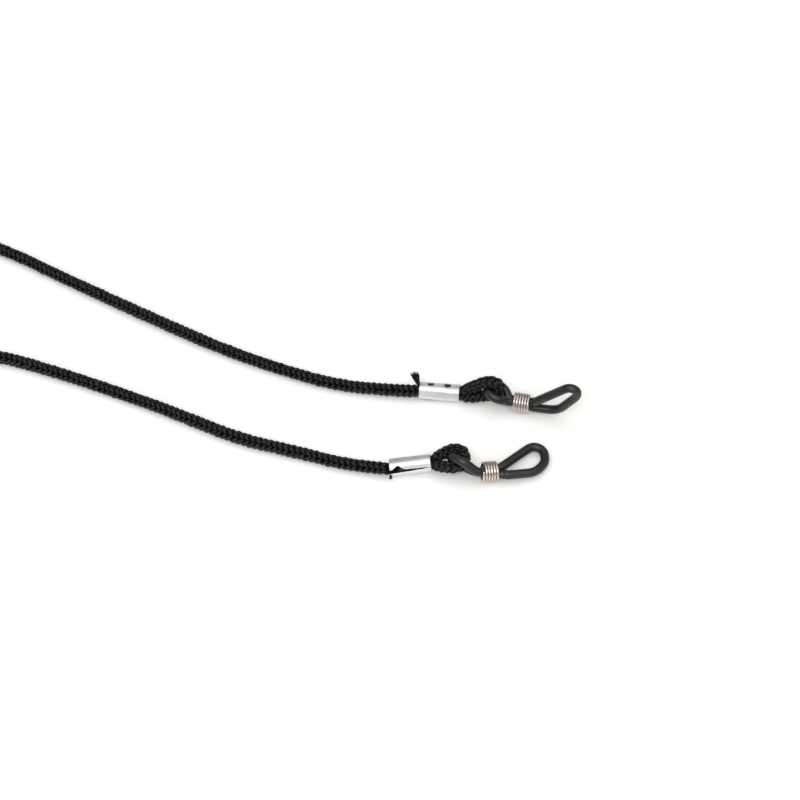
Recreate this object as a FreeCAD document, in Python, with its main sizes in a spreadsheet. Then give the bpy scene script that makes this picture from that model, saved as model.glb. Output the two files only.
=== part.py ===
"""Eyeglass retainer strap: a knitted cord with a crimped eye, a rubber ring and a sliding coil at each end.

Millimetres, +Z up.  The origin is on the ground under the middle of the two end fittings, and +X runs
from the cord towards the rubber rings.  Each cord end is folded back on itself to make an eye, a ferrule
is crimped over the doubled cord, a rubber ring is linked through the eye, and a close-wound coil on the
ring slides to grip a spectacle arm.  Most of the cord lies put away in a small coil of turns.
"""
import FreeCAD, Part
import math
import os

from FreeCAD import Placement, Rotation, Vector

doc = FreeCAD.newDocument("retainer_strap")

# ---------------------------------------------------------------------------------------------------
# Driving sizes
# ---------------------------------------------------------------------------------------------------
SIZES = [
    ("cord_width", 3.0, "outside diameter of the knitted cord"),
    ("ferrule_long", 9.5, "length of the crimped ferrule"),
    ("ferrule_side", 3.7, "side of the ferrule's rounded-square section"),
    ("ferrule_round", 0.9, "outside corner radius of that section"),
    ("ferrule_sheet", 0.35, "thickness of the ferrule's sheet"),
    ("seam_gap", 0.36, "gap left between the ferrule's two rolled edges"),
    ("pierced_wide", 1.5, "diameter of the holes pierced opposite the seam"),
    ("pierced_apart", 4.0, "distance between the two pierced holes"),
    ("pierced_first", 3.0, "first pierced hole, from the cord side of the ferrule"),
    ("burr_wide", 1.9, "outside diameter of the burr pushed in round a pierced hole"),
    ("burr_deep", 0.3, "how far a burr stands in from the ferrule's inner wall"),
    ("bight_bend", 2.65, "centreline radius of the cord's bend round the rubber"),
    ("rubber_width", 2.1, "diameter of the rubber ring's strand"),
    ("rubber_pinched", 1.8, "diameter of each strand where the coil squeezes it"),
    ("wire_width", 0.6, "diameter of the slider coil's wire"),
    ("slider_wide", 4.9, "outside diameter of the slider coil"),
    ("slider_turns", 5.5, "turns in the slider coil"),
    ("wire_step", 0.64, "pitch of those turns"),
]

sheet = doc.addObject("Spreadsheet::Sheet", "sizes")
for row, (alias, value, meaning) in enumerate(SIZES, start=1):
    sheet.set("A%d" % row, meaning)
    sheet.set("B%d" % row, str(value))
    sheet.setAlias("B%d" % row, alias)
doc.recompute()
SIZE = {alias: float(sheet.get(alias)) for alias, value, meaning in SIZES}

CORD = SIZE["cord_width"]
SIDE = SIZE["ferrule_side"]
SHEET = SIZE["ferrule_sheet"]
BEND = SIZE["bight_bend"]
RUBBER = SIZE["rubber_width"]
PINCHED = SIZE["rubber_pinched"]
INSIDE = SIDE - 2 * SHEET
FIT = 0.02              # clearance between the crimped cord and the sheet round it
LEG_APART = 0.92        # each squeezed strand's distance from the slider's axis
SPREAD = 1.06           # the same just outside the slider, where the strands are round again
PORT_OUT = 0.9          # how far outside the slider the linked strands begin to turn
PORT_LAP = 0.05         # how far outside the slider's end a round strand meets a squeezed one
PORT_BEND = 1.4         # centreline radius of that first turn
LEG_LAP = 0.15          # how far a squeezed strand runs on past each end of the slider
EASE = 0.985            # share of the bend radius used where three arcs follow each other round the bight
NECK_LAP = 0.4          # how far a neck runs on into the leg behind it and the strand before it
NECK_WIDE = 1.3         # half the squeezed cord's width where a neck leaves the ferrule
NECK_THICK = 0.7        # half its thickness there
COIL_HALF = 0.5 * (SIZE["slider_turns"] * SIZE["wire_step"] + SIZE["wire_width"])

# ---------------------------------------------------------------------------------------------------
# Where each end lies.  A fitting is laid out from the ferrule's mouth, where the eye comes out:
# "axis" runs along the ferrule towards the eye, "across" spans the eye with it, "holes" is the way the
# pierced side faces.  The eye's points are (along, across) from the mouth.  The slider has a centre and
# an axis, and "beside" is the way its second strand lies from its first where the open lobe begins.
# "port_lean" turns the linked strands about that axis, in degrees from the eye's normal, and "wire_turn"
# turns the wire's cut ends about it.  "heading" is the way out of the eye that the ring goes round the
# bight.  "lobe" holds the corners of the ring's open lobe as (along, beside) from the slider's centre and
# the bend radius at each.
# "tail" holds sections of the frayed end as (out past the ferrule, across, half width, half thickness,
# lean in degrees).  "path" is the cord's way back from the ferrule to the face of the put-away turns:
# corners of straight runs, which tangent arcs join.
# ---------------------------------------------------------------------------------------------------
ENDS = {
    "upper": {
        "mouth": Vector(-5.47, 11.42, 2.56),
        "axis": Vector(0.9896, -0.1354, 0.042),
        "across": Vector(0.0, 0.174, 0.985),
        "holes": Vector(0.0, 0.423, 0.906),
        "eye_centre": (6.2, 1.5),
        "neck_high": (2.0, 1.95),
        "neck_low": (2.1, -0.93),
        "port_lean": -22.0,
        "wire_turn": 0.0,
        "slider": Vector(9.04, 8.31, 2.75),
        "slider_axis": Vector(0.967, -0.251, 0.037),
        "beside": Vector(0.0, -0.07, 0.997),
        "heading": Vector(0.969, -0.153, -0.16),
        "tail": [
            (0.0, 1.12, 1.0, 0.30, 0),
            (0.55, 1.55, 1.0, 0.42, 60),
            (0.95, 3.70, 1.25, 0.60, 85),
        ],
        "path": [
            (-14.90, 12.71, 2.15),
            (-26.53, 13.72, 1.5),
            (-39.53, 16.57, 1.5),
            (-60.53, 25.57, 1.5),
            (-79.53, 36.27, 1.5),
            (-99.03, 47.77, 1.5),
            (-119.83, 60.57, 1.5),
            (-131.03, 64.27, 1.5),
            (-141.53, 63.97, 1.5),
        ],
        "lobe": [
            (3.0, 1.06, 1.6),
            (10.75, 9.3, 2.2),
            (13.25, 9.25, 1.4),
            (13.3, 6.4, 4.0),
            (9.3, 0.2, 4.2),
            (7.3, -0.95, 4.8),
        ],
    },
    "lower": {
        "mouth": Vector(-12.46, -10.03, 3.3),
        "axis": Vector(0.9911, 0.0623, 0.1175),
        "across": Vector(-0.06, 0.983, 0.174),
        "holes": Vector(0.0, 0.906, -0.423),
        "eye_centre": (5.2, 0.35),
        "neck_high": (2.0, 1.75),
        "neck_low": (2.0, -1.50),
        "port_lean": 32.0,
        "wire_turn": 220.0,
        "slider": Vector(0.92, -12.18, 2.78),
        "slider_axis": Vector(0.985, 0.15, -0.10),
        "beside": Vector(-0.15, 0.988, 0.0),
        "heading": Vector(0.78, -0.62, 0.1),
        "tail": [
            (0.0, -1.12, 0.9, 0.30, 0),
            (0.35, -1.45, 0.8, 0.34, 60),
            (0.55, -2.30, 0.6, 0.40, 80),
        ],
        "path": [
            (-21.88, -10.62, 2.17),
            (-31.03, -9.13, 1.5),
            (-43.53, -5.03, 1.5),
            (-57.03, -1.33, 1.5),
            (-72.03, 6.57, 1.5),
            (-93.03, 15.97, 1.5),
            (-117.03, 25.17, 1.5),
            (-131.03, 27.17, 1.5),
            (-141.53, 26.97, 1.5),
        ],
        "lobe": [
            (3.0, 1.06, 1.6),
            (11.2, 6.85, 2.3),
            (13.8, 5.8, 2.2),
            (13.75, 1.9, 4.0),
            (10.9, -1.4, 5.0),
            (3.6, -1.45, 6.0),
        ],
    },
}

TURNS_CENTRE = Vector(-143.03, 45.47, 0.0)
TURNS_INNER = 10.5
TURNS_OUTER = 20.0
TURNS_HIGH = 5.7
TURNS_ROUND = 1.35      # radius of the turns' outer edges


def unit(vector):
    """The vector at length one."""
    out = Vector(vector)
    out.normalize()
    return out


def frame_at(origin, along, across):
    """A placement whose X runs along the first direction and whose Y leans towards the second."""
    return Placement(origin, Rotation(unit(along), unit(across), Vector(), "XYZ"))


def rounded_path(points, radii):
    """Straight runs between corner points, each inner corner rounded by a tangent arc."""
    edges = []
    start = points[0]
    for before, corner, after, radius in zip(points, points[1:], points[2:], radii):
        way_in = unit(corner - before)
        way_out = unit(after - corner)
        turn = way_in.getAngle(way_out)
        reach = radius * math.tan(turn / 2)
        first = corner - way_in * reach
        last = corner + way_out * reach
        inward = unit(way_out - way_in)
        middle = corner + inward * (radius / math.cos(turn / 2) - radius)
        if first.distanceToPoint(start) > 1e-4:
            edges.append(Part.LineSegment(start, first).toShape())
        edges.append(Part.Arc(first, middle, last).toShape())
        start = last
    edges.append(Part.LineSegment(start, points[-1]).toShape())
    return Part.Wire(edges)


def tube(wire, diameter):
    """A round strand that follows a wire."""
    edge = wire.Edges[0]
    start = edge.valueAt(edge.FirstParameter)
    way = edge.tangentAt(edge.FirstParameter)
    circle = Part.Wire(Part.makeCircle(diameter / 2, start, way))
    solid = wire.makePipeShell([circle], True, True)
    if solid.Volume < 0:
        solid.reverse()
    return solid


def cord_radii(points):
    """Each corner's radius: 0.45 of its shorter run over the tangent of half the turn."""
    radii = []
    for before, corner, after in zip(points, points[1:], points[2:]):
        turn = (corner - before).getAngle(after - corner)
        run = min((corner - before).Length, (after - corner).Length)
        radii.append(0.45 * run / math.tan(turn / 2))
    return radii


def add_shape(label, shape, place=None):
    """A document object of its own for a shape made from lofts and sweeps."""
    thing = doc.addObject("Part::Feature", label)
    thing.Label = label
    thing.Shape = shape
    if place is not None:
        thing.Placement = place
    return thing


# ---------------------------------------------------------------------------------------------------
# Ferrule: a square sheet tube with a seam on its -Z side and two pierced holes on its +Z side
# ---------------------------------------------------------------------------------------------------
def primitive(body, kind, name, sizes, base):
    """A PartDesign primitive whose sizes and base corner are expressions."""
    feature = body.newObject("PartDesign::" + kind, name)
    for key, formula in sizes.items():
        feature.setExpression(key, formula)
    for axis, formula in zip("xyz", base):
        feature.setExpression(".Placement.Base." + axis, formula)
    doc.recompute()
    return feature


def make_ferrule(end, data):
    """The crimped ferrule, from its cord side at -X to its mouth at the origin."""
    body = doc.addObject("PartDesign::Body", end + "_ferrule")
    body.Label = end + "_ferrule"
    half = "-sizes.ferrule_side / 2"
    block = primitive(
        body, "AdditiveBox", end + "_block",
        {"Length": "sizes.ferrule_long", "Width": "sizes.ferrule_side",
         "Height": "sizes.ferrule_side"},
        ("-sizes.ferrule_long", half, half))
    rounding = body.newObject("PartDesign::Fillet", end + "_rounding")
    long_edges = [
        "Edge%d" % number for number, edge in enumerate(block.Shape.Edges, start=1)
        if abs(edge.tangentAt(edge.FirstParameter).x) > 0.99]
    rounding.Base = (block, long_edges)
    rounding.setExpression("Radius", "sizes.ferrule_round")
    doc.recompute()
    hollow = body.newObject("PartDesign::Thickness", end + "_hollow")
    end_faces = [
        "Face%d" % number for number, face in enumerate(rounding.Shape.Faces, start=1)
        if abs(face.normalAt(0, 0).x) > 0.99]
    hollow.Base = (rounding, end_faces)
    hollow.setExpression("Value", "sizes.ferrule_sheet")
    hollow.Reversed = True
    doc.recompute()
    wall = "sizes.ferrule_side / 2 - sizes.ferrule_sheet"
    for number in range(2):
        along = "-sizes.ferrule_long + sizes.pierced_first + %d * sizes.pierced_apart" % number
        primitive(
            body, "AdditiveCylinder", "%s_burr_%d" % (end, number + 1),
            {"Radius": "sizes.burr_wide / 2", "Height": "sizes.burr_deep + sizes.ferrule_sheet / 2"},
            (along, "0 mm", wall + " - sizes.burr_deep"))
        primitive(
            body, "SubtractiveCylinder", "%s_hole_%d" % (end, number + 1),
            {"Radius": "sizes.pierced_wide / 2", "Height": "sizes.ferrule_side / 2"},
            (along, "0 mm", "sizes.ferrule_side / 4"))
    primitive(
        body, "SubtractiveBox", end + "_seam",
        {"Length": "sizes.ferrule_long + 2 mm", "Width": "sizes.seam_gap",
         "Height": "sizes.ferrule_side / 2"},
        ("-sizes.ferrule_long - 1 mm", "-sizes.seam_gap / 2", "-sizes.ferrule_side * 3 / 4"))
    axis = unit(data["axis"])
    frame = Rotation(axis, Vector(), data["holes"], "XZY")
    body.Placement = Placement(data["mouth"], frame)
    return body


# ---------------------------------------------------------------------------------------------------
# Cord eye: two legs squeezed flat in the ferrule, two necks that fill out, and the bight round the rubber
# ---------------------------------------------------------------------------------------------------
def eye_frame(data):
    """X runs out of the mouth, Y spans the eye, Z is the eye's normal."""
    return frame_at(data["mouth"], data["axis"], data["across"])


def oval_section(along, across, way, wide, thick):
    """An oval across the strand's way, wide along the eye's normal, as a wire."""
    wire = Part.Wire(Part.Ellipse(Vector(0, 0, 0), wide, thick).toShape())
    turned = Rotation(Vector(0, 0, 1), Vector(-way.y, way.x, 0), way, "XYZ")
    wire.Placement = Placement(Vector(along, across, 0), turned)
    return wire


def tangent_from(point, centre, side):
    """The way a line leaves a point to graze the bight's circle on the given side."""
    to_centre = centre - point
    lean = math.asin(BEND / to_centre.Length)
    angle = math.atan2(to_centre.y, to_centre.x) + side * lean
    reach = math.sqrt(to_centre.Length ** 2 - BEND ** 2)
    way = Vector(math.cos(angle), math.sin(angle), 0)
    return way, point + way * reach


def legs_in_ferrule(data, place):
    """The doubled cord as it fills the ferrule, dented by the burrs, in the eye's own frame."""
    core = Part.makeBox(SIZE["ferrule_long"], INSIDE - 2 * FIT, INSIDE - 2 * FIT)
    core.translate(Vector(-SIZE["ferrule_long"], FIT - INSIDE / 2, FIT - INSIDE / 2))
    long_edges = [edge for edge in core.Edges if abs(edge.tangentAt(edge.FirstParameter).x) > 0.99]
    core = core.makeFillet(SIZE["ferrule_round"] - SHEET, long_edges)
    for number in range(2):
        along = SIZE["pierced_first"] + number * SIZE["pierced_apart"] - SIZE["ferrule_long"]
        foot = Vector(along, 0, INSIDE / 2 - SIZE["burr_deep"] - FIT)
        core = core.cut(Part.makeCylinder(SIZE["burr_wide"] / 2 + FIT, INSIDE / 2, foot))
    square = Placement(data["mouth"], Rotation(unit(data["axis"]), Vector(), data["holes"], "XZY"))
    core.Placement = place.inverse().multiply(square)
    return core


def make_eye(end, data):
    """The folded cord end: squeezed legs, necks and bight as one solid."""
    place = eye_frame(data)
    centre = Vector(data["eye_centre"][0], data["eye_centre"][1], 0)
    high = Vector(data["neck_high"][0], data["neck_high"][1], 0)
    low = Vector(data["neck_low"][0], data["neck_low"][1], 0)
    way_high, touch_high = tangent_from(high, centre, 1)
    way_low, touch_low = tangent_from(low, centre, -1)
    far = centre + Vector(BEND, 0, 0)
    spine = Part.Wire([
        Part.LineSegment(high, touch_high).toShape(),
        Part.Arc(touch_high, far, touch_low).toShape(),
        Part.LineSegment(touch_low, low).toShape(),
    ])
    solid = tube(spine, CORD)
    start = INSIDE / 4
    for point, way, side in ((high, way_high, 1), (low, way_low, -1)):
        inner = point + way * NECK_LAP
        mouth = oval_section(-NECK_LAP, side * start, Vector(1, 0, 0), NECK_WIDE, NECK_THICK)
        full = oval_section(inner.x, inner.y, way, CORD / 2 - FIT, CORD / 2 - 2 * FIT)
        solid = solid.fuse(Part.makeLoft([mouth, full], True))
    solid = solid.fuse(legs_in_ferrule(data, place))
    return add_shape(end + "_cord_eye", solid, place)


def make_tail(end, data, run):
    """The cut end of the doubled cord, fraying out beside the cord where the ferrule ends."""
    place = eye_frame(data)
    back = -SIZE["ferrule_long"]
    sections = []
    for out, up, wide, thick, lean in data["tail"]:
        way = Vector(-math.cos(math.radians(lean)), math.copysign(math.sin(math.radians(lean)), up), 0)
        sections.append(oval_section(back - out, up, way * -1, wide, thick))
    solid = Part.makeLoft(sections, True)
    solid.Placement = place
    return add_shape(end + "_cord_tail", solid.cut(run.Shape))


# ---------------------------------------------------------------------------------------------------
# Rubber ring: linked through the eye, squeezed side by side in the slider, open beyond it
# ---------------------------------------------------------------------------------------------------
def slider_frame(data):
    """X along the slider, Y from its first strand to its second."""
    return frame_at(data["slider"], data["slider_axis"], data["beside"])


def linked_ports(data):
    """Where the linked strands enter the slider: their turn about its axis, from its first direction."""
    normal = eye_frame(data).Rotation.multVec(Vector(0, 0, 1))
    local = slider_frame(data).Rotation.inverted().multVec(normal)
    return math.atan2(local.z, local.y) + math.radians(data["port_lean"])


def near_lobe(data):
    """Corner points and radii of the linked part of the ring, in the slider's frame.

    The strands leave the slider side by side along the eye's normal, graze a circle round the bight
    and pass through the eye on the circle's far side.
    """
    eye = eye_frame(data)
    hole = eye.multVec(Vector(data["eye_centre"][0], data["eye_centre"][1], 0))
    normal = eye.Rotation.multVec(Vector(0, 0, 1))
    heading = Vector(data["heading"])
    heading = unit(heading - normal * heading.dot(normal))
    bight = hole + heading * BEND
    frame = slider_frame(data)
    turn = linked_ports(data)
    side = Vector(0, math.cos(turn), math.sin(turn)) * SPREAD
    grip = Vector(-COIL_HALF - PORT_OUT, 0, 0)
    first = frame.multVec(grip + side) - bight
    last = frame.multVec(grip - side) - bight
    first = Vector(first.dot(heading), first.dot(normal), 0)
    last = Vector(last.dot(heading), last.dot(normal), 0)
    start = math.atan2(-first.y, -first.x) - math.asin(BEND / first.Length)
    stop = math.atan2(last.y, last.x) + math.asin(BEND / last.Length)
    step = ((stop - start) % (2 * math.pi)) / 3
    corners = []
    for number in range(3):
        mid = start + (number + 0.5) * step
        reach = BEND / math.cos(step / 2)
        spot = bight + heading * (reach * math.sin(mid)) - normal * (reach * math.cos(mid))
        corners.append(frame.inverse().multVec(spot))
    inset = Vector(PORT_OUT - PORT_LAP, 0, 0)
    points = [grip + inset + side, grip + side] + corners + [grip - side, grip + inset - side]
    return points, [PORT_BEND, EASE * BEND, EASE * BEND, EASE * BEND, PORT_BEND]


def far_lobe(data):
    """Corner points and radii of the open part of the ring, in the slider's frame."""
    corners = [Vector(along, beside, 0) for along, beside, radius in data["lobe"]]
    radii = [radius for along, beside, radius in data["lobe"]]
    start = COIL_HALF + PORT_LAP
    points = [Vector(start, SPREAD, 0)] + corners + [Vector(start, -SPREAD, 0)]
    return points, radii


def twisted_leg(start, turn):
    """One squeezed strand through the slider, turning about its axis as it goes."""
    long = 2 * (COIL_HALF + LEG_LAP)
    helix = Part.makeHelix(long * 2 * math.pi / abs(turn), long, LEG_APART, 0, turn < 0)
    leg = tube(Part.Wire(helix.Edges), PINCHED)
    outward = Vector(0, math.cos(start), math.sin(start))
    leg.Placement = Placement(Vector(-long / 2, 0, 0), Rotation(outward, Vector(), Vector(1, 0, 0), "ZXY"))
    return leg


def make_ring(end, data):
    """The rubber ring as one solid, thinner where the slider squeezes it."""
    points, radii = near_lobe(data)
    solid = tube(rounded_path(points, radii), RUBBER)
    points, radii = far_lobe(data)
    solid = solid.fuse(tube(rounded_path(points, radii), RUBBER))
    for half_turn in (0, math.pi):
        solid = solid.fuse(twisted_leg(linked_ports(data) + half_turn, -linked_ports(data)))
    return add_shape(end + "_rubber_loop", solid, slider_frame(data))


# ---------------------------------------------------------------------------------------------------
# Slider coil: close-wound wire, swept along a helix
# ---------------------------------------------------------------------------------------------------
def make_slider(end, data):
    """The close-wound coil round both rubber strands."""
    helix = doc.addObject("Part::Helix", end + "_slider_helix")
    helix.setExpression("Pitch", "sizes.wire_step")
    helix.setExpression("Height", "sizes.wire_step * sizes.slider_turns")
    helix.setExpression("Radius", "(sizes.slider_wide - sizes.wire_width) / 2")
    wire_end = doc.addObject("Part::Circle", end + "_slider_wire")
    wire_end.setExpression("Radius", "sizes.wire_width / 2")
    wire_end.Placement = Placement(Vector(0, 0, 0), Rotation(Vector(1, 0, 0), 90))
    wire_end.setExpression(".Placement.Base.x", "(sizes.slider_wide - sizes.wire_width) / 2")
    coil = doc.addObject("Part::Sweep", end + "_slider_coil")
    coil.Label = end + "_slider_coil"
    coil.Sections = [wire_end]
    coil.Spine = (helix, ["Edge1"])
    coil.Solid = True
    coil.Frenet = True
    frame = slider_frame(data)
    upright = Rotation(Vector(1, 0, 0), data["wire_turn"]).multiply(Rotation(Vector(0, 1, 0), 90))
    turned = Placement(Vector(-COIL_HALF + SIZE["wire_width"] / 2, 0, 0), upright)
    doc.recompute()
    coil.Placement = frame.multiply(turned)
    return coil


# ---------------------------------------------------------------------------------------------------
# Cord: two runs and the put-away turns
# ---------------------------------------------------------------------------------------------------
def make_run(label, corners):
    """One uncoiled stretch of cord, with its radii and volume printed."""
    points = [Vector(*corner) for corner in corners]
    radii = cord_radii(points)
    wire = rounded_path(points, radii)
    solid = tube(wire, CORD)
    expected = math.pi * CORD ** 2 / 4 * wire.Length
    print(label, "radii", [round(radius, 1) for radius in radii])
    print(label, "length %.1f volume %.1f expected %.1f" % (wire.Length, solid.Volume, expected))
    return add_shape(label, solid)


def make_turns():
    """The closed outer shape of the put-away turns of cord."""
    ring = Part.makeCylinder(TURNS_OUTER, TURNS_HIGH)
    ring = ring.cut(Part.makeCylinder(TURNS_INNER, TURNS_HIGH))
    rims = [edge for edge in ring.Edges if edge.Closed and edge.Curve.TypeId == "Part::GeomCircle"]
    ring = ring.makeFillet(TURNS_ROUND, rims)
    return add_shape("cord_coil", ring, Placement(TURNS_CENTRE, Rotation()))


turns = make_turns()
PARTS = [turns]
for end, data in ENDS.items():
    run = make_run(end + "_cord_run", data["path"])
    run.Shape = run.Shape.cut(turns.Shape)
    PARTS += [make_ferrule(end, data), make_eye(end, data), make_tail(end, data, run)]
    PARTS += [make_ring(end, data), make_slider(end, data), run]
doc.recompute()

os.makedirs("parts", exist_ok=True)
for thing in PARTS:
    assert not {"Invalid", "Error"} & set(thing.State), thing.Label
    shape = thing.Shape
    assert not shape.isNull() and shape.isValid(), thing.Label
    assert len(shape.Solids) == 1, (thing.Label, len(shape.Solids))
    box = shape.optimalBoundingBox(True, False)
    print("%-20s volume %8.2f  x %.2f..%.2f  y %.2f..%.2f  z %.2f..%.2f" % (
        thing.Label, shape.Volume, box.XMin, box.XMax, box.YMin, box.YMax, box.ZMin, box.ZMax))
    shape.exportStep(os.path.join("parts", thing.Label + ".step"))
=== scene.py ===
"""Looks of the eyeglass retainer strap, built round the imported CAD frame.

Everything is in metres in the row frame: +Z up, the ground at zero, and +X from the cord towards the
rubber rings.  Distances that are easier to read in millimetres are multiplied by MM where they are used.
"""
import copy
import math

import bpy
import numpy as np
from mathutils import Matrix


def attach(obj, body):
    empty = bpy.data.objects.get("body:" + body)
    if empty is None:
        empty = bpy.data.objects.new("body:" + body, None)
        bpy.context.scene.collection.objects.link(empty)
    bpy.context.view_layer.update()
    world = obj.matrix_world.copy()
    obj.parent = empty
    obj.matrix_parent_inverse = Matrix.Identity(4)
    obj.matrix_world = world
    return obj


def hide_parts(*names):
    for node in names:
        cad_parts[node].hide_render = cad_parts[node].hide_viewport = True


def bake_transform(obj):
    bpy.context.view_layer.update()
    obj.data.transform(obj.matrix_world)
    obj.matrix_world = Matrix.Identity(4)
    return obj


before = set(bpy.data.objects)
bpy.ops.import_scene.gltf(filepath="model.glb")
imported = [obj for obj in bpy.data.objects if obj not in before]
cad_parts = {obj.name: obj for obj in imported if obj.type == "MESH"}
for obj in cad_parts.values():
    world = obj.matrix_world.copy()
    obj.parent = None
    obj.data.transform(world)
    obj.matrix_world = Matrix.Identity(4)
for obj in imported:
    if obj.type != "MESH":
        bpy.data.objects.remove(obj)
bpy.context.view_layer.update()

MM = 0.001
CORD = 3.0 * MM         # outside diameter of the knitted cord
RUBBER = 2.1 * MM       # diameter of a ring's strand
PINCHED = 1.8 * MM      # the same where the slider squeezes it
SLIDER_HALF = 2.06      # half the slider coil's length, in millimetres
LEG_APART = 0.92        # each squeezed strand's distance from the slider's axis, in millimetres
SPREAD = 1.06           # the same where the strands are round again

# ---------------------------------------------------------------------------------------------------
# Camera: fifty degrees above the horizontal, level, a little over half a metre away
# ---------------------------------------------------------------------------------------------------
CAMERA_AT = (-0.01953, -0.32600, 0.40217)
CAMERA_TILT = 40.0
CAMERA_LENS = 100.0


def make_camera():
    data = bpy.data.cameras.new("view")
    data.lens = CAMERA_LENS
    data.sensor_width = 36.0
    data.clip_start = 0.01
    camera = bpy.data.objects.new("view", data)
    camera.location = CAMERA_AT
    camera.rotation_euler = (math.radians(CAMERA_TILT), 0.0, 0.0)
    bpy.context.collection.objects.link(camera)
    bpy.context.scene.camera = camera


# ---------------------------------------------------------------------------------------------------
# Routes and places
# ---------------------------------------------------------------------------------------------------
UPPER_ROUTE = [
    (-0.01490, 0.01271, 0.00215),
    (-0.02653, 0.01372, 0.0015),
    (-0.03953, 0.01657, 0.0015),
    (-0.06053, 0.02557, 0.0015),
    (-0.07953, 0.03627, 0.0015),
    (-0.09903, 0.04777, 0.0015),
    (-0.11983, 0.06057, 0.0015),
    (-0.13103, 0.06427, 0.0015),
]
LOWER_ROUTE = [
    (-0.13103, 0.02560, 0.0015),
    (-0.11703, 0.02517, 0.0015),
    (-0.09303, 0.01597, 0.0015),
    (-0.07203, 0.00657, 0.0015),
    (-0.05703, -0.00133, 0.0015),
    (-0.04353, -0.00503, 0.0015),
    (-0.03103, -0.00913, 0.0015),
    (-0.02188, -0.01062, 0.00217),
]
TURNS_CENTRE = (-0.14303, 0.04547)
TURN_POINTS = 16
TURNS = 3.5
OUTER_TURN = 18.5       # radius of the first turn, in millimetres
TURN_STEP = 3.1         # how much further in the next turn on the ground lies
ON_GROUND = 1.5         # height of the cord's middle line when it lies on the ground

# One entry per end, in millimetres.  The ferrule's mouth is where the eye comes out, "axis" runs out of
# it, "across" spans the eye and "holes" is the way the pierced side faces.  "eye" is the folded cord's
# middle line as (along, across) from the mouth.  "linked" and "open" are the corners of the rubber
# ring's two lobes from the slider's centre, as (along, beside, out, bend radius); "port_turn" is how far
# the linked strands are turned about the slider's axis, in degrees.  "tuft" is the frayed end's middle
# line, as (along, across, out) from the mouth.
ENDS = {
    "upper": {
        "mouth": (-5.47, 11.42, 2.56),
        "axis": (0.9896, -0.1354, 0.0420),
        "across": (0.0, 0.174, 0.985),
        "holes": (0.0, 0.423, 0.906),
        "eye": [(-9.3, 0.75), (0.2, 0.78), (1.6, 1.35), (4.0, 2.75), (6.6, 4.25), (8.9, 3.9),
                (9.8, 1.7), (7.5, 0.20), (4.6, -0.36), (2.2, -0.95), (0.2, -0.88), (-9.3, -0.75)],
        "slider": (9.04, 8.31, 2.75),
        "slider_axis": (0.967, -0.251, 0.037),
        "beside": (0.0, -0.07, 0.997),
        "port_turn": 50.0,
        "linked": [(-6.6, 3.0, 2.4, 2.6), (-9.3, 2.3, -1.1, 2.6), (-5.9, 1.2, -3.9, 2.6)],
        "open": [(10.8, 8.75, 0, 2.2), (13.05, 8.9, 0, 1.4), (13.15, 6.3, 0, 4.0), (9.2, 0.35, 0, 4.2),
                 (7.2, -0.75, 0, 4.8)],
        "tuft": [(-9.45, 0.9, 0.3), (-9.7, 1.9, 0.3), (-10.15, 3.3, 0.2), (-10.7, 5.2, 0.0)],
        "tuft_wide": 1.15,
    },
    "lower": {
        "mouth": (-12.46, -10.03, 3.3),
        "axis": (0.9911, 0.0623, 0.1175),
        "across": (-0.06, 0.983, 0.174),
        "holes": (0.0, 0.906, -0.423),
        "eye": [(-9.3, 0.75), (0.1, 0.76), (1.3, 1.2), (3.2, 2.05), (5.1, 2.75), (7.2, 2.4), (8.15, 0.55),
                (7.4, -1.35), (5.2, -2.0), (3.0, -1.45), (1.2, -1.0), (0.1, -0.78), (-5.5, -0.75),
                (-8.0, -1.3), (-9.3, -1.0)],
        "slider": (0.92, -12.18, 2.78),
        "slider_axis": (0.985, 0.15, -0.10),
        "beside": (-0.15, 0.988, 0.0),
        "port_turn": 131.6,
        "linked": [(-7.2, 1.3, 3.4, 2.6), (-9.1, 4.3, 0.8, 2.6), (-6.1, 4.2, -2.2, 2.6)],
        "open": [(11.2, 6.65, 0, 2.3), (13.7, 5.7, 0, 2.2), (13.65, 1.9, 0, 4.0), (10.65, -1.05, 0, 5.0),
                 (3.6, -1.35, 0, 6.0)],
        "tuft": [(-9.3, -1.2, 0.0), (-9.5, -1.6, 0.0), (-9.4, -2.3, 0.0), (-9.7, -2.9, 0.0)],
        "tuft_wide": 0.35,
    },
}


def turns_of_cord():
    """The put-away turns: two side by side on the ground, a third on top that slides off outwards."""
    points = []
    for step in range(int(TURNS * TURN_POINTS) + 1):
        turn = step / TURN_POINTS
        angle = math.radians(90.0 + 360.0 * turn)
        if turn <= 2.0:
            radius, high = OUTER_TURN - TURN_STEP * turn, ON_GROUND
        elif turn <= 3.0:
            climb = min(1.0, (turn - 2.0) * 4.0)
            radius = 12.3 + 1.6 * climb + 0.9 * (turn - 2.0)
            high = ON_GROUND + 2.95 * climb
        else:
            slip = (turn - 3.0) / 0.5
            radius = 14.8 + 5.5 * slip ** 1.2
            apart = radius - (OUTER_TURN - TURN_STEP * (turn - 3.0))
            high = ON_GROUND + math.sqrt(max(0.0, 8.7 - max(apart, 0.0) ** 2))
        points.append((
            TURNS_CENTRE[0] + radius * MM * math.cos(angle),
            TURNS_CENTRE[1] + radius * MM * math.sin(angle),
            high * MM))
    return points


# ---------------------------------------------------------------------------------------------------
# Places and lines
# ---------------------------------------------------------------------------------------------------
def unit(vectors):
    vectors = np.asarray(vectors, float)
    return vectors / np.linalg.norm(vectors, axis=-1, keepdims=True)


class Place:
    """An origin and three square directions; it turns millimetres in them into metres in the world."""

    def __init__(self, origin, along, across):
        self.origin = np.asarray(origin, float)
        self.along = unit(along)
        self.across = unit(np.asarray(across) - self.along * np.dot(across, self.along))
        self.out = np.cross(self.along, self.across)

    def world(self, points):
        turn = np.stack([self.along, self.across, self.out])
        return (np.asarray(points, float) @ turn + self.origin) * MM


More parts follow.
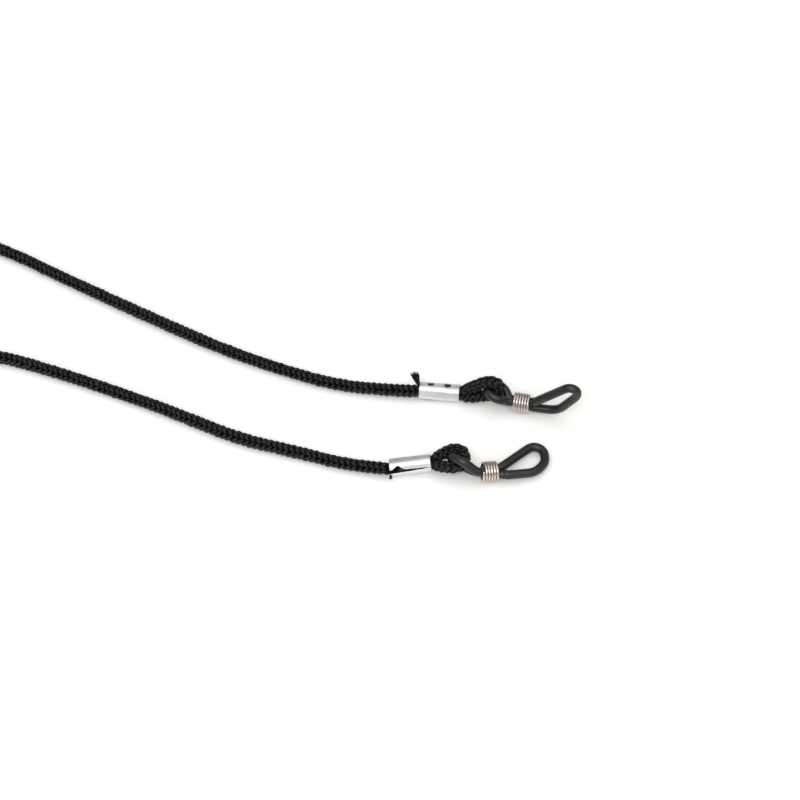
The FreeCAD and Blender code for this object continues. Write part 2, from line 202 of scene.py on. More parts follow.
def along_lines(points):
    """The distance of each point along the line through them all."""
    return np.concatenate([[0.0], np.cumsum(np.linalg.norm(np.diff(points, axis=0), axis=1))])


def evenly(points, step):
    """Evenly spaced points along a line."""
    points = np.asarray(points, float)
    gone = along_lines(points)
    spots = np.linspace(0.0, gone[-1], max(8, int(gone[-1] / step)))
    return np.stack([np.interp(spots, gone, points[:, k]) for k in range(3)], axis=1)


class Line:
    """An evenly divided path, its distances, and the two directions across it."""

    def __init__(self, points, up, step):
        self.points = evenly(points, step)
        self.s = along_lines(self.points)
        self.length = self.s[-1]
        self.ways = unit(np.gradient(self.points, axis=0))
        normals = []
        normal = np.asarray(up, float)
        for way in self.ways:
            normal = unit(normal - way * np.dot(normal, way))
            normals.append(normal)
        self.normals = np.array(normals)
        self.sides = np.cross(self.ways, self.normals)

    def at(self, s, rows):
        return np.stack([np.interp(s, self.s, rows[:, k]) for k in range(3)], axis=-1)

    def place(self, s, turn, wide, thick):
        """Points beside the path: turned from the side towards the normal, wide by thick out."""
        s = np.clip(s, 0.0, self.length)
        middle = self.at(s, self.points)
        normal = unit(self.at(s, self.normals))
        side = unit(self.at(s, self.sides))
        return middle + side * (np.cos(turn) * wide)[..., None] + normal * (np.sin(turn) * thick)[..., None]


def smooth_through(points, spread=12):
    """A smooth cubic line through every point."""
    points = np.asarray(points, float)
    gap = np.diff(along_lines(points))
    count = len(points)
    left = np.eye(count)
    right = np.zeros((count, 3))
    for k in range(1, count - 1):
        left[k, k - 1:k + 2] = (gap[k - 1], 2 * (gap[k - 1] + gap[k]), gap[k])
        right[k] = 6 * ((points[k + 1] - points[k]) / gap[k] - (points[k] - points[k - 1]) / gap[k - 1])
    bend = np.linalg.solve(left, right)
    out = []
    for k in range(count - 1):
        for t in np.linspace(0.0, 1.0, spread, endpoint=False):
            a, b, h = 1.0 - t, t, gap[k]
            out.append(a * points[k] + b * points[k + 1]
                       + ((a ** 3 - a) * bend[k] + (b ** 3 - b) * bend[k + 1]) * h * h / 6)
    out.append(points[-1])
    return np.array(out)


def rounded(corners):
    """Points along straight runs between corners, each inner corner turned by its own tangent arc."""
    spots = np.array([corner[:3] for corner in corners], float)
    out = [spots[0]]
    for before, corner, after, (_, _, _, radius) in zip(spots, spots[1:], spots[2:], corners[1:]):
        way_in, way_out = unit(corner - before), unit(after - corner)
        turn = math.acos(np.clip(np.dot(way_in, way_out), -1.0, 1.0))
        first = corner - way_in * radius * math.tan(turn / 2)
        centre = corner + unit(way_out - way_in) * radius / math.cos(turn / 2)
        for angle in np.linspace(0.0, turn, 8):
            out.append(centre + (first - centre) * math.cos(angle) + way_in * radius * math.sin(angle))
    out.append(spots[-1])
    return np.array(out)


def nurbs_curve(name, points, bevel):
    """A curve object of one open spline with these control points."""
    data = bpy.data.curves.new(name, "CURVE")
    data.dimensions = "3D"
    data.resolution_u = 16
    data.bevel_depth = bevel
    data.bevel_resolution = 3
    data.use_fill_caps = bevel > 0.0
    spline = data.splines.new("NURBS")
    spline.points.add(len(points) - 1)
    for point, spot in zip(spline.points, points):
        point.co = (*spot, 1.0)
    spline.order_u = 3
    spline.use_endpoint_u = True
    thing = bpy.data.objects.new(name, data)
    bpy.context.collection.objects.link(thing)
    return thing


def line_points(curve):
    """Points along a curve's spline, read from a copy without its bevel."""
    bare = curve.copy()
    bare.data = curve.data.copy()
    bare.data.bevel_depth = 0.0
    bpy.context.collection.objects.link(bare)
    bpy.context.view_layer.update()
    mesh = bpy.data.meshes.new_from_object(bare)
    points = np.array([vertex.co for vertex in mesh.vertices], float)
    bpy.data.meshes.remove(mesh)
    bpy.data.objects.remove(bare)
    return points


# ---------------------------------------------------------------------------------------------------
# Meshes
# ---------------------------------------------------------------------------------------------------
def mesh_object(name, vertices, faces, material, uv=None):
    """A smooth-shaded mesh, with one texture coordinate per vertex where they are given."""
    mesh = bpy.data.meshes.new(name)
    mesh.from_pydata(np.asarray(vertices, float).tolist(), [], faces)
    mesh.polygons.foreach_set("use_smooth", [True] * len(mesh.polygons))
    if uv is not None:
        layer = mesh.uv_layers.new(name="strand")
        corners = np.zeros(len(mesh.loops), np.int64)
        mesh.loops.foreach_get("vertex_index", corners)
        layer.data.foreach_set("uv", np.asarray(uv, np.float32)[corners].ravel())
    mesh.materials.append(material)
    mesh.update()
    thing = bpy.data.objects.new(name, mesh)
    bpy.context.collection.objects.link(thing)
    return thing


def strand_faces(strands, rings, sides):
    """Faces of many closed strands whose vertices run strand by strand and ring by ring."""
    base = np.arange(strands)[:, None, None] * rings * sides
    ring = np.arange(rings - 1)[None, :, None] * sides
    here = np.arange(sides)[None, None, :]
    after = (here + 1) % sides
    quads = np.stack([base + ring + here, base + ring + after,
                      base + ring + sides + after, base + ring + sides + here], axis=-1)
    faces = quads.reshape(-1, 4).tolist()
    for strand in range(strands):
        first = strand * rings * sides
        last = first + (rings - 1) * sides
        faces.append(list(range(first + sides - 1, first - 1, -1)))
        faces.append(list(range(last, last + sides)))
    return faces


def strand_mesh(name, lines, outward, thickness, flat, sides, material):
    """Closed strands swept along many lines at once.

    lines and outward are (strands, rings, 3), thickness is (strands, rings) and flat is how much wider
    than high a strand is.
    """
    strands, rings = lines.shape[:2]
    ways = unit(np.gradient(lines, axis=1))
    out = unit(outward - ways * np.sum(outward * ways, axis=-1, keepdims=True))
    side = np.cross(ways, out)
    turn = -math.pi / 2 + np.arange(sides) * 2 * math.pi / sides
    wide = side[:, :, None, :] * (np.cos(turn) * flat)[None, None, :, None]
    high = out[:, :, None, :] * (np.sin(turn) / flat)[None, None, :, None]
    vertices = lines[:, :, None, :] + (wide + high) * thickness[:, :, None, None]
    gone = np.cumsum(np.linalg.norm(np.diff(lines, axis=1, prepend=lines[:, :1]), axis=-1), axis=1)
    uv = np.zeros((strands, rings, sides, 2))
    uv[..., 0] = gone[:, :, None] / MM + np.arange(strands)[:, None, None] * 7.31
    uv[..., 1] = (np.arange(sides) / sides)[None, None, :]
    faces = strand_faces(strands, rings, sides)
    return mesh_object(name, vertices.reshape(-1, 3), faces, material, uv.reshape(-1, 2))


WANDER = 0.16           # how far the columns of stitches wander round a cord, in radians
WANDER_LONG = 11.0 * MM


def knit(name, line, start, stop, wide, thick, look, material, seed):
    """Columns of V-shaped stitches over a line: each stitch is two yarn arms that meet at its tip.

    wide and thick are functions of the distance along the line that give half the cord's section.
    """
    draw = np.random.default_rng(seed)
    rows = int((stop - start) / look["stitch"])
    wales = look["wales"]
    row, wale, arm = np.meshgrid(np.arange(rows), np.arange(wales), (-1.0, 1.0), indexing="ij")
    row, wale, arm = row.ravel()[:, None], wale.ravel()[:, None], arm.ravel()[:, None]
    strands = len(row)
    t = np.linspace(0.0, 1.0, look["rings"])[None, :]
    half = math.pi / wales
    shake = draw.normal(0.0, 1.0, (4, strands, 1))
    tip = look["tips"] * look["reach"] * (t - 0.5)
    s = start + (0.5 + row + wale / wales + tip + 0.05 * shake[0]) * look["stitch"]
    spread = look["open"] * (1.0 - t) ** 0.85 + look["shut"] * t
    drift = WANDER * np.sin(s / WANDER_LONG + seed) + 0.06 * half * shake[1]
    turn = look["turn"] + 2 * half * wale + arm * half * spread + drift
    yarn = look["yarn"] * (1.0 + 0.07 * shake[2])
    arch = np.sin(math.pi * np.clip(0.04 + 0.98 * t, 0.0, 1.0))
    rise = -yarn / look["flat"] - look["sink"] * (1.0 - arch) + 0.035 * MM * shake[3]
    centre = line.at(np.clip(s, 0.0, line.length), line.points)
    lines = line.place(s, turn, wide(s) + rise, thick(s) + rise)
    body = yarn * (0.60 + 0.40 * arch)
    return strand_mesh(name, lines, lines - centre, body, look["flat"], look["sides"], material)


# "tips" is which way along the line the stitches point, "turn" where the first column lies round it.
# "open" and "shut" are how far apart an arm's root and tip are, as shares of half a column's width.
CORD_LOOK = {
    "stitch": 1.37 * MM, "wales": 3, "rings": 9, "sides": 9, "reach": 1.15, "open": 1.0, "shut": 0.08,
    "yarn": 0.39 * MM, "sink": 0.40 * MM, "flat": 1.05, "half": 1.56 * MM,
}
UPPER_LOOK = {**CORD_LOOK, "tips": -1.0, "turn": math.radians(144.0)}
LOWER_LOOK = {**CORD_LOOK, "tips": 1.0, "turn": math.radians(36.0)}
TURNS_LOOK = {**LOWER_LOOK, "rings": 6, "sides": 6, "half": 1.52 * MM}
EYE_LOOK = {**CORD_LOOK, "tips": 1.0, "turn": math.radians(90.0), "wales": 4}


# ---------------------------------------------------------------------------------------------------
# Materials
# ---------------------------------------------------------------------------------------------------
def new_material(name):
    material = bpy.data.materials.new(name)
    material.use_nodes = True
    shader = material.node_tree.nodes["Principled BSDF"]
    return material, material.node_tree, shader


def add(tree, kind, **values):
    """A node with its settings, and its unlinked inputs by name."""
    node = tree.nodes.new(kind)
    for key, value in values.items():
        if key in node.inputs:
            node.inputs[key].default_value = value
        else:
            setattr(node, key, value)
    return node


def ramp(tree, source, stops):
    """A colour ramp; a stop is a position and a grey or a colour."""
    node = tree.nodes.new("ShaderNodeValToRGB")
    elements = node.color_ramp.elements
    while len(elements) < len(stops):
        elements.new(0.5)
    for element, (position, colour) in zip(elements, stops):
        element.position = position
        element.color = (*colour, 1.0) if isinstance(colour, tuple) else (colour, colour, colour, 1.0)
    tree.links.new(source, node.inputs["Fac"])
    return node.outputs["Color"]


def sums(tree, operation, first, second):
    """One arithmetic step between an output and another output or a number."""
    node = add(tree, "ShaderNodeMath", operation=operation)
    for socket, value in zip(node.inputs, (first, second)):
        if isinstance(value, float):
            socket.default_value = value
        else:
            tree.links.new(value, socket)
    return node.outputs["Value"]


def bump(tree, shader, source, strength, distance):
    node = add(tree, "ShaderNodeBump", Strength=strength, Distance=distance)
    tree.links.new(source, node.inputs["Height"])
    tree.links.new(node.outputs["Normal"], shader.inputs["Normal"])


def mapped(tree, scale=(1.0, 1.0, 1.0), layer=None, rotation=(0.0, 0.0, 0.0)):
    """Texture coordinates of the object, or of a named layer, scaled and turned."""
    if layer:
        source = add(tree, "ShaderNodeUVMap", uv_map=layer).outputs["UV"]
    else:
        source = tree.nodes.new("ShaderNodeTexCoord").outputs["Object"]
    mapping = add(tree, "ShaderNodeMapping", Scale=scale, Rotation=rotation)
    tree.links.new(source, mapping.inputs["Vector"])
    return mapping.outputs["Vector"]


def noise(tree, vector, scale, detail=4.0, roughness=0.55):
    node = add(tree, "ShaderNodeTexNoise", Scale=scale, Detail=detail, Roughness=roughness)
    tree.links.new(vector, node.inputs["Vector"])
    return node.outputs["Fac"]


def yarn_material():
    """Black spun yarn: filaments along each arm, uneven tone, faint glints."""
    material, tree, shader = new_material("black_knit")
    strand = mapped(tree, (0.9, 9.0, 1.0), "strand", (0.0, 0.0, 0.12))
    filaments = noise(tree, strand, 2.0, 5.0, 0.6)
    patches = noise(tree, mapped(tree), 900.0, 3.0)
    tone = sums(tree, "MULTIPLY", filaments, patches)
    colour = ramp(tree, tone, [(0.12, (0.0010, 0.0008, 0.0010)), (0.26, (0.0035, 0.0031, 0.0037)),
                               (0.42, (0.016, 0.015, 0.017))])
    tree.links.new(colour, shader.inputs["Base Color"])
    rough = ramp(tree, filaments, [(0.3, 0.50), (0.7, 0.30)])
    tree.links.new(rough, shader.inputs["Roughness"])
    shader.inputs["Specular IOR Level"].default_value = 0.30
    bump(tree, shader, filaments, 0.8, 0.08 * MM)
    return material


def core_material():
    """The cord's dark inside, seen only between stitches."""
    material, tree, shader = new_material("cord_core")
    patches = noise(tree, mapped(tree), 2500.0, 4.0)
    colour = ramp(tree, patches, [(0.3, (0.0012, 0.0010, 0.0011)), (0.7, (0.004, 0.0035, 0.004))])
    tree.links.new(colour, shader.inputs["Base Color"])
    shader.inputs["Roughness"].default_value = 0.85
    shader.inputs["Specular IOR Level"].default_value = 0.1
    bump(tree, shader, patches, 0.6, 0.1 * MM)
    return material


def rubber_material():
    """Soft black rubber: a dull skin with faint handling marks."""
    material, tree, shader = new_material("black_rubber")
    place = mapped(tree)
    skin = noise(tree, place, 1400.0, 6.0, 0.6)
    marks = noise(tree, place, 260.0, 3.0)
    colour = ramp(tree, marks, [(0.35, (0.0025, 0.0025, 0.0030)), (0.7, (0.0055, 0.0055, 0.0063))])
    tree.links.new(colour, shader.inputs["Base Color"])
    rough = ramp(tree, skin, [(0.3, 0.30), (0.7, 0.44)])
    tree.links.new(rough, shader.inputs["Roughness"])
    shader.inputs["Specular IOR Level"].default_value = 0.55
    bump(tree, shader, skin, 0.25, 0.03 * MM)
    return material


def aluminium_material():
    """Satin aluminium: fine drawing lines along the ferrule, small dents and darker wear."""
    material, tree, shader = new_material("satin_aluminium")
    lines = noise(tree, mapped(tree, (0.06, 1.0, 1.0)), 9000.0, 3.0)
    dents = noise(tree, mapped(tree), 420.0, 3.0)
    colour = ramp(tree, dents, [(0.25, (0.62, 0.63, 0.64)), (0.6, (0.76, 0.77, 0.78))])
    tree.links.new(colour, shader.inputs["Base Color"])
    rough = ramp(tree, lines, [(0.3, 0.40), (0.7, 0.54)])
    tree.links.new(rough, shader.inputs["Roughness"])
    shader.inputs["Metallic"].default_value = 1.0
    height = sums(tree, "ADD", sums(tree, "MULTIPLY", dents, 3.0), lines)
    bump(tree, shader, height, 0.35, 0.05 * MM)
    return material


def wire_material():
    """Nickel-plated spring wire: bright, with fine drawing marks."""
    material, tree, shader = new_material("nickel_wire")
    marks = noise(tree, mapped(tree), 3000.0, 5.0)
    colour = ramp(tree, marks, [(0.3, (0.52, 0.47, 0.43)), (0.7, (0.70, 0.65, 0.60))])
    tree.links.new(colour, shader.inputs["Base Color"])
    rough = ramp(tree, marks, [(0.3, 0.14), (0.7, 0.28)])
    tree.links.new(rough, shader.inputs["Roughness"])
    shader.inputs["Metallic"].default_value = 1.0
    bump(tree, shader, marks, 0.15, 0.02 * MM)
    return material


def strap_material():
    """The woven tie round the put-away turns."""
    material, tree, shader = new_material("tie_webbing")
    weave = mapped(tree, (9.0, 60.0, 1.0), "strand")
    threads = noise(tree, weave, 3.0, 2.0)
    colour = ramp(tree, threads, [(0.35, (0.006, 0.006, 0.007)), (0.65, (0.022, 0.022, 0.024))])
    tree.links.new(colour, shader.inputs["Base Color"])
    shader.inputs["Roughness"].default_value = 0.7
    bump(tree, shader, threads, 0.8, 0.08 * MM)
    return material


def paper_material():
    material, tree, shader = new_material("white_paper")
    grain = noise(tree, mapped(tree), 1200.0, 3.0)
    colour = ramp(tree, grain, [(0.3, 0.955), (0.7, 0.97)])
    tree.links.new(colour, shader.inputs["Base Color"])
    shader.inputs["Roughness"].default_value = 0.9
    shader.inputs["Specular IOR Level"].default_value = 0.1
    return material


# ---------------------------------------------------------------------------------------------------
# Cord
# ---------------------------------------------------------------------------------------------------
KNIT_SITS = (0.0, -0.38 * MM, 0.10 * MM)    # the loose knit sags off its route and lies on the ground


BARE_HALF = 0.36 * CORD                     # half the cord's smooth core, hidden inside the knit
FUZZ_COUNT = 420


def steady(value):
    """A half-width that is the same all along."""
    return lambda s: np.full(np.shape(s), value)


def make_fuzz(name, line, count, material, seed):
    """Loose fibres that stand off a cord."""
    draw = np.random.default_rng(seed)
    t = np.linspace(0.0, 1.0, 6)[None, :]
    start = draw.uniform(2.0 * MM, line.length - 2.0 * MM, (count, 1))
    turn = draw.uniform(0.0, 2 * math.pi, (count, 1))
    reach = draw.uniform(-1.6, 1.6, (count, 1)) * MM
    lift = draw.uniform(0.15, 0.55, (count, 1)) * MM
    curl = draw.uniform(-0.9, 0.9, (count, 1))
    off = CORD / 2 - 0.25 * MM + lift * np.sin(math.pi * 0.62 * t)
    lines = line.place(start + reach * t, turn + curl * t, off, off)
    centre = line.at(start + reach * t, line.points)
    thickness = np.full((count, 6), 0.022 * MM)
    return strand_mesh(name, lines, lines - centre, thickness, 1.0, 4, material)


def make_tie(webbing):
    """A small band closed round the put-away turns."""
    inner, outer, high, low, corner = 10.1, 20.4, 6.1, 0.22, 1.3
    loop = [(15.0, 0, high, 0), (outer, 0, high, corner), (outer, 0, low, corner), (inner, 0, low, corner),
            (inner, 0, high, corner), (15.0, 0, high, 0)]
    angle = math.radians(212.0)
    place = Place((TURNS_CENTRE[0] / MM, TURNS_CENTRE[1] / MM, 0.0),
                  (math.cos(angle), math.sin(angle), 0.0), (-math.sin(angle), math.cos(angle), 0.0))
    points = evenly(place.world(rounded(loop)), 0.4 * MM)
    centre = place.world([15.0, 0.0, 3.0])
    thickness = np.full((1, len(points)), 0.95 * MM)
    return strand_mesh("turns_tie", points[None], (points - centre)[None], thickness, 2.2, 16, webbing)


def make_cord(yarn, core, webbing):
    route = UPPER_ROUTE + turns_of_cord() + LOWER_ROUTE
    cord = nurbs_curve("cord", route, BARE_HALF)
    cord.data.materials.append(core)
    line = Line(line_points(cord), (0.0, 0.0, 1.0), 0.25 * MM)
    run_in = np.linalg.norm(np.array(TURNS_CENTRE) - line.points[:, :2], axis=1) < 24.0 * MM
    first = line.s[np.argmax(run_in)]
    last = line.s[len(run_in) - 1 - np.argmax(run_in[::-1])]
    knitted = copy.copy(line)
    knitted.points = line.points + KNIT_SITS
    looks = [("knit_upper", -0.3 * MM, first, UPPER_LOOK), ("knit_coil", first, last, TURNS_LOOK),
             ("knit_lower", last, line.length + 0.3 * MM, LOWER_LOOK)]
    pieces = [knit(name, knitted, start, stop, steady(look["half"]), steady(look["half"]), look, yarn, seed)
              for seed, (name, start, stop, look) in enumerate(looks, start=11)]
    pieces.append(make_fuzz("cord_fuzz", knitted, FUZZ_COUNT, yarn, 5))
    pieces.append(make_tie(webbing))
    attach(cord, "strap")
    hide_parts("upper_cord_run", "lower_cord_run", "cord_coil")
    for piece in pieces:
        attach(piece, "strap")


# ---------------------------------------------------------------------------------------------------
# Eyes and frayed ends
# ---------------------------------------------------------------------------------------------------
EYE_KEYS = (0.0, 9.6, 11.0, 12.6, 15.5)     # distances from either end of the folded cord, millimetres
EYE_FLAT = (0.70, 0.74, 1.32, 1.46, 1.42)   # half its size across the eye's opening there
EYE_BROAD = (1.36, 1.36, 1.55, 1.62, 1.70)  # half its size along the eye's normal
FILLING_THIN = 0.84     # the dark filling's share of the first
FILLING_DEEP = 0.76     # and of the second


def both_ways(length, keys, sizes):
    """A size that follows keys in from both ends of a line."""
    near = np.array(keys) * MM
    spots = np.concatenate([near, length - near[::-1]])
    values = np.concatenate([sizes, sizes[::-1]]) * MM
    return lambda s: np.interp(s, spots, values)


def make_eye(end, data, yarn, core):
    """The folded cord end: a flat knitted strand round the rubber, squeezed inside the ferrule."""
    place = Place(data["mouth"], data["axis"], data["across"])
    points = place.world([(along, across, 0.0) for along, across in data["eye"]])
    curve = nurbs_curve(end + "_eye_core", points, 0.0)
    line = Line(line_points(curve), place.out, 0.1 * MM)
    bpy.data.objects.remove(curve)
    thin = both_ways(line.length, EYE_KEYS, EYE_FLAT)
    deep = both_ways(line.length, EYE_KEYS, EYE_BROAD)
    rings, sides = 120, 12
    spots = np.linspace(0.0, line.length, rings)[None, :, None]
    turn = np.arange(sides) * 2 * math.pi / sides
    inside = line.place(spots, turn, FILLING_THIN * thin(spots), FILLING_DEEP * deep(spots))
    filling = mesh_object(end + "_eye_filling", inside.reshape(-1, 3), strand_faces(1, rings, sides), core)
    piece = knit(end + "_eye_knit", line, 0.1 * MM, line.length - 1.2 * MM, thin, deep,
                 EYE_LOOK, yarn, 31 + len(end))
    for thing in (piece, filling):
        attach(thing, "strap")
    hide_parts(end + "_cord_eye")


def make_tuft(end, data, yarn, seed):
    """The cut end of the folded cord: yarns that fray into loose fibres."""
    draw = np.random.default_rng(seed)
    place = Place(data["mouth"], data["axis"], data["across"])
    line = Line(smooth_through(place.world(data["tuft"])), place.out, 0.1 * MM)
    count, rings = 220, 10
    t = np.linspace(0.0, 1.0, rings)[None, :]
    end_at = draw.uniform(0.6, 1.0, (count, 1))
    turn = draw.uniform(0.0, 2 * math.pi, (count, 1)) + draw.normal(0.0, 0.5, (count, 1)) * t
    far = draw.uniform(0.1, 1.0, (count, 1)) ** 0.6
    gone = t * end_at
    wide = data["tuft_wide"] * MM * far * (0.14 + 0.86 * gone ** 1.15)
    lines = line.place(gone * line.length, turn, wide, 0.8 * wide)
    lines = lines + draw.normal(0.0, 0.035 * MM, (count, rings, 3)) * t[..., None]
    thickness = np.repeat(draw.uniform(0.035, 0.11, (count, 1)) * MM, rings, axis=1) * (1.0 - 0.4 * t)
    outward = np.broadcast_to(place.out, lines.shape)
    piece = strand_mesh(end + "_tuft", lines, outward, thickness, 1.0, 5, yarn)
    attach(piece, "strap")
    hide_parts(end + "_cord_tail")


# ---------------------------------------------------------------------------------------------------
# Ferrules: rolled sheet, dented by the crimp, with two punched holes opposite the seam, in millimetres
# ---------------------------------------------------------------------------------------------------
FERRULE_LONG = 9.5
FERRULE_SIDE = 3.7
FERRULE_ROUND = 1.35
SHEET = 0.28
SHEET_POINTS = 96       # points round each face of the sheet
LIP_POINTS = 5          # and round each of the seam's two edges
HOLES_AT = (-6.9, -2.9)
HOLE_WIDE = 1.7
DIMPLE_DEEP = 0.30
DIMPLE_WIDE = 0.75
SEAM_NARROW = 0.10      # the seam's gap at the mouth
SEAM_WIDE = 0.95        # and at the cord side, where the edges spring apart
SEAM_ASIDE = -0.25      # how far the seam lies from the middle of its side at the mouth
SEAM_SKEW = -0.15       # and how much further at the cord side
NOTCH_AT = -7.6         # where one edge of the seam is torn back and the cord swells out
NOTCH_LONG = 0.95
NOTCH_DEEP = 1.0


def round_square(walk, off):
    """Points of a rounded square at distances round it from the middle of its -Z side, moved out."""
    half = FERRULE_SIDE / 2 - FERRULE_ROUND
    arc = FERRULE_ROUND * math.pi / 2
    side = 2 * half + arc
    shifted = walk + half
    number = np.floor(shifted / side)
    along = shifted - number * side
    bend = np.clip((along - 2 * half) / FERRULE_ROUND, 0.0, math.pi / 2)
    across = np.minimum(along, 2 * half) - half
    reach = FERRULE_ROUND + off
    y = across + reach * np.sin(bend)
    z = -half - reach * np.cos(bend)
    turn = number * math.pi / 2
    return y * np.cos(turn) - z * np.sin(turn), y * np.sin(turn) + z * np.cos(turn)


def sheet_loop(gap):
    """The rolled sheet's section: distances round it and offsets from its mid-thickness."""
    whole = 4 * (FERRULE_SIDE - 2 * FERRULE_ROUND) + 2 * math.pi * FERRULE_ROUND
    lip = SHEET / 2
    run = np.linspace(gap / 2 + lip, whole - gap / 2 - lip, SHEET_POINTS)
    curl = np.linspace(0.0, math.pi, LIP_POINTS + 2)[1:-1]
    walk = np.concatenate([run, run[-1] + lip * np.sin(curl), run[::-1], run[0] - lip * np.sin(curl)])
    off = np.concatenate([np.full(SHEET_POINTS, lip), lip * np.cos(curl),
                          np.full(SHEET_POINTS, -lip), -lip * np.cos(curl)])
    return walk, off, whole


def crimp_dents(seed):
    """Small dents as (along, round, width, depth)."""
    draw = np.random.default_rng(seed)
    return [(draw.uniform(-FERRULE_LONG, 0.0), draw.uniform(0.0, 13.0), draw.uniform(0.6, 1.6),
             draw.normal(0.0, 0.03)) for _ in range(26)]


def ferrule_stations():
    """Distances along the ferrule, and the share of the sheet's thickness at each: its ends are round."""
    turn_in = np.linspace(0.15, math.pi / 2, 5)
    edge = SHEET / 2 * (1.0 - np.cos(turn_in))
    body = np.linspace(edge[-1], FERRULE_LONG - edge[-1], 72)[1:-1]
    stations = np.concatenate([edge, body, (FERRULE_LONG - edge)[::-1]]) - FERRULE_LONG
    fullness = np.concatenate([np.sin(turn_in), np.ones(len(body)), np.sin(turn_in)[::-1]])
    return stations, fullness


def ferrule_ring(x, full, dents):
    """The section at one station: open at the seam, dented, and pressed in round the holes."""
    out_there = np.clip(-x / FERRULE_LONG, 0.0, 1.0)
    notch = NOTCH_DEEP * math.exp(-((x - NOTCH_AT) / NOTCH_LONG) ** 2)
    gap = SEAM_NARROW + (SEAM_WIDE - SEAM_NARROW) * out_there + 0.05 * math.sin(2.3 * x) + notch
    walk, off, whole = sheet_loop(gap)
    pressed = np.zeros(len(walk))
    for dent_x, dent_walk, wide, deep in dents:
        pressed += deep * np.exp(-((x - dent_x) ** 2 + (walk - dent_walk) ** 2) / wide ** 2)
    for hole in HOLES_AT:
        apart = (x - hole) ** 2 + (walk - whole / 2) ** 2
        pressed -= DIMPLE_DEEP * np.exp(-apart / DIMPLE_WIDE ** 2)
    aside = SEAM_ASIDE + SEAM_SKEW * out_there + notch / 2
    y, z = round_square(walk + aside, off * full - SHEET / 2 + pressed)
    return np.stack([np.full(len(walk), x), -y, z], axis=1)


def ferrule_faces(count, loop):
    """Faces along the sheet's two sides and lips, and the strips that close its two ends."""
    faces = [face[::-1] for face in strand_faces(1, count, loop)[:-2]]
    for base, flip in ((0, False), ((count - 1) * loop, True)):
        for k in range(SHEET_POINTS - 1):
            inner = 2 * SHEET_POINTS + LIP_POINTS - 1 - k
            face = [base + k, base + k + 1, base + inner - 1, base + inner]
            faces.append(face if flip else face[::-1])
    return faces


def make_ferrule(end, data, metal):
    place = Place(data["mouth"], data["axis"], np.cross(data["holes"], data["axis"]))
    dents = crimp_dents(len(end) + 71)
    rings = [ferrule_ring(x, full, dents) for x, full in zip(*ferrule_stations())]
    faces = ferrule_faces(len(rings), len(rings[0]))
    shell = mesh_object(end + "_ferrule_shell", place.world(np.concatenate(rings)), faces, metal)
    punch(shell, place)
    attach(shell, "strap")
    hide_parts(end + "_ferrule")


def punch(shell, place):
    """Cut the two round holes through the pierced side."""
    spots = []
    faces = []
    count = 40
    angle = np.arange(count) * 2 * math.pi / count
    after = [(k + 1) % count for k in range(count)]
    for number, hole in enumerate(HOLES_AT):
        for z in (0.6, 2.6):
            spots += [(hole + HOLE_WIDE / 2 * math.cos(a), HOLE_WIDE / 2 * math.sin(a), z) for a in angle]
        low = number * 2 * count
        high = low + count
        faces += [[low + k, low + after[k], high + after[k], high + k] for k in range(count)]
        faces += [list(range(high - 1, low - 1, -1)), list(range(high, high + count))]
    cutter = mesh_object("punch", place.world(spots), faces, shell.data.materials[0])
    cut = shell.modifiers.new("punch", "BOOLEAN")
    cut.operation = "DIFFERENCE"
    cut.solver = "EXACT"
    cut.object = cutter
    depsgraph = bpy.context.evaluated_depsgraph_get()
    mesh = bpy.data.meshes.new_from_object(shell.evaluated_get(depsgraph))
    mesh.set_sharp_from_angle(angle=math.radians(42.0))
    shell.modifiers.clear()
    shell.data = mesh
    bpy.data.objects.remove(cutter)


# ---------------------------------------------------------------------------------------------------
# Rubber rings
# ---------------------------------------------------------------------------------------------------
def squeezed_leg(start, stop, reach):
    """One strand from the slider's middle to its end, turning about its axis as it goes."""
    t = np.linspace(0.0, 1.0, 5)
    turn = np.radians(start + (stop - start) * t)
    return np.stack([reach * t, LEG_APART * np.cos(turn), LEG_APART * np.sin(turn)], axis=1)


def half_ring(data, corners, port_turn, way):
    """Half a ring's middle line, out of the slider's middle and back, in the slider's frame."""
    middle = data["port_turn"] / 2
    port = np.radians(port_turn)
    side = SPREAD * np.array([0.0, math.cos(port), math.sin(port)])
    out = np.array([way * (SLIDER_HALF + 0.05), 0.0, 0.0])
    bend = np.array([way * (SLIDER_HALF + 0.9), 0.0, 0.0])
    lobe = rounded([(*(out + side), 0), (*(bend + side), 1.4), *corners, (*(bend - side), 1.4),
                    (*(out - side), 0)])
    first = squeezed_leg(middle, port_turn, way * SLIDER_HALF)
    last = squeezed_leg(middle + 180.0, port_turn + 180.0, way * SLIDER_HALF)
    return np.concatenate([first, lobe, last[::-1]])


def make_ring_half(name, data, corners, port_turn, way, rubber):
    """Half a rubber ring as one strand, thinner inside the slider."""
    place = Place(data["slider"], data["slider_axis"], data["beside"])
    rough = place.world(half_ring(data, corners, port_turn, way))
    line = Line(smooth_through(evenly(rough, 1.1 * MM)), (0.0, 0.0, 1.0), 0.14 * MM)
    along = (line.points - place.origin * MM) @ place.along
    squeeze = 1.0 / (1.0 + np.exp((np.abs(along) - 2.5 * MM) / (0.2 * MM)))
    near = np.linalg.norm(line.points - place.origin * MM, axis=1) < 4.5 * MM
    thick = RUBBER / 2 - squeeze * near * (RUBBER - PINCHED) / 2
    return strand_mesh(name, line.points[None], line.normals[None], thick[None], 1.0, 20, rubber)


def make_ring(end, data, rubber):
    near = make_ring_half(end + "_ring_near", data, data["linked"], data["port_turn"], -1.0, rubber)
    far = make_ring_half(end + "_ring_far", data, data["open"], 0.0, 1.0, rubber)
    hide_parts(end + "_rubber_loop")
    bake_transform(near)
    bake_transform(far)


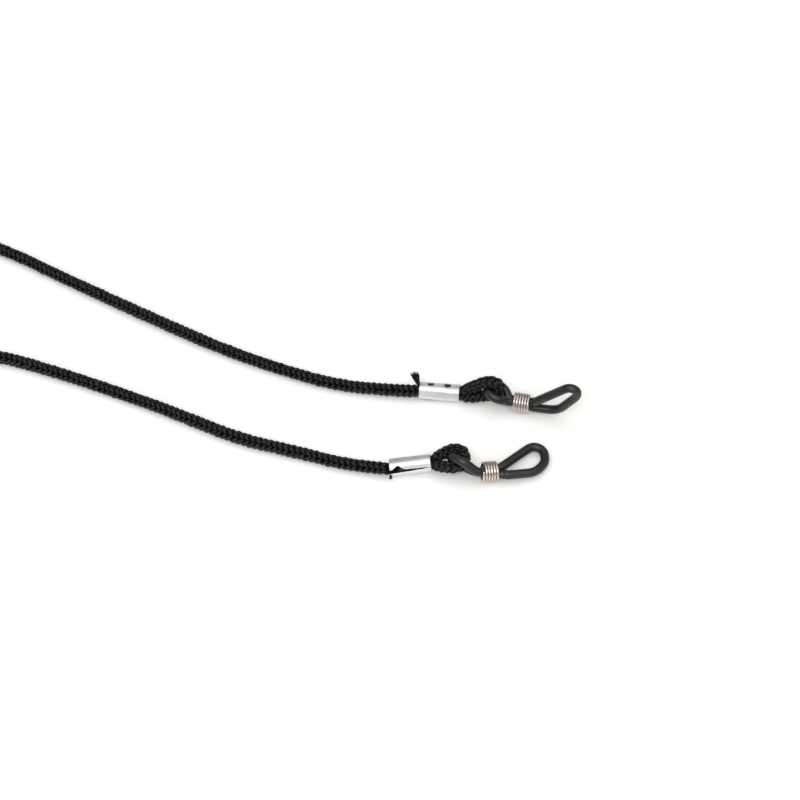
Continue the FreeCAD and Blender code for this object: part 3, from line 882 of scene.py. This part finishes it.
# ---------------------------------------------------------------------------------------------------
# Ground and light
# ---------------------------------------------------------------------------------------------------
def make_floor(paper):
    side = 3.0
    floor = mesh_object("floor", [(-side, -side, 0), (side, -side, 0), (side, side, 0), (-side, side, 0)],
                        [[0, 1, 2, 3]], paper)


def area_light(name, place, target, size, energy, colour):
    data = bpy.data.lights.new(name, "AREA")
    data.shape = "DISK"
    data.size = size
    data.energy = energy
    data.color = colour
    light = bpy.data.objects.new(name, data)
    light.location = place
    way = np.array(target) - np.array(place)
    light.rotation_euler = (
        math.acos(-way[2] / np.linalg.norm(way)), 0.0, math.atan2(way[1], way[0]) - math.pi / 2)
    bpy.context.collection.objects.link(light)


SKY_TOWARDS = (0.0, -0.30, 0.954)   # the middle of the bright part of the room
# Its colour at two cosines of the angle from that middle: low down, and near it.
SKY = [(0.48, (0.33, 0.312, 0.288)), (0.80, (1.0, 0.985, 0.965))]
SKY_STRENGTH = 1.32


def make_light():
    """A bright cloth tent overhead, darker low down, and a soft lamp from the front."""
    world = bpy.data.worlds.new("soft_room")
    bpy.context.scene.world = world
    world.use_nodes = True
    tree = world.node_tree
    background = tree.nodes["Background"]
    direction = tree.nodes.new("ShaderNodeTexCoord").outputs["Generated"]
    facing = add(tree, "ShaderNodeVectorMath", operation="DOT_PRODUCT")
    tree.links.new(direction, facing.inputs[0])
    facing.inputs[1].default_value = SKY_TOWARDS
    tree.links.new(ramp(tree, facing.outputs["Value"], SKY), background.inputs["Color"])
    background.inputs["Strength"].default_value = SKY_STRENGTH
    area_light("key", (-0.08, -0.46, 0.60), (-0.02, 0.0, 0.0), 0.36, 1.9, (1.0, 0.99, 0.985))
    bpy.context.scene.view_settings.view_transform = "Standard"


# ---------------------------------------------------------------------------------------------------
make_camera()
YARN = yarn_material()
CORE = core_material()
RUBBER_SKIN = rubber_material()
ALUMINIUM = aluminium_material()
WIRE = wire_material()
make_cord(YARN, CORE, strap_material())
for SEED, (END, DATA) in enumerate(ENDS.items(), start=51):
    make_eye(END, DATA, YARN, CORE)
    make_tuft(END, DATA, YARN, SEED)
    make_ferrule(END, DATA, ALUMINIUM)
    make_ring(END, DATA, RUBBER_SKIN)
    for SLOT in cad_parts[END + "_slider_coil"].material_slots:
        SLOT.material = WIRE
make_floor(paper_material())
make_light()
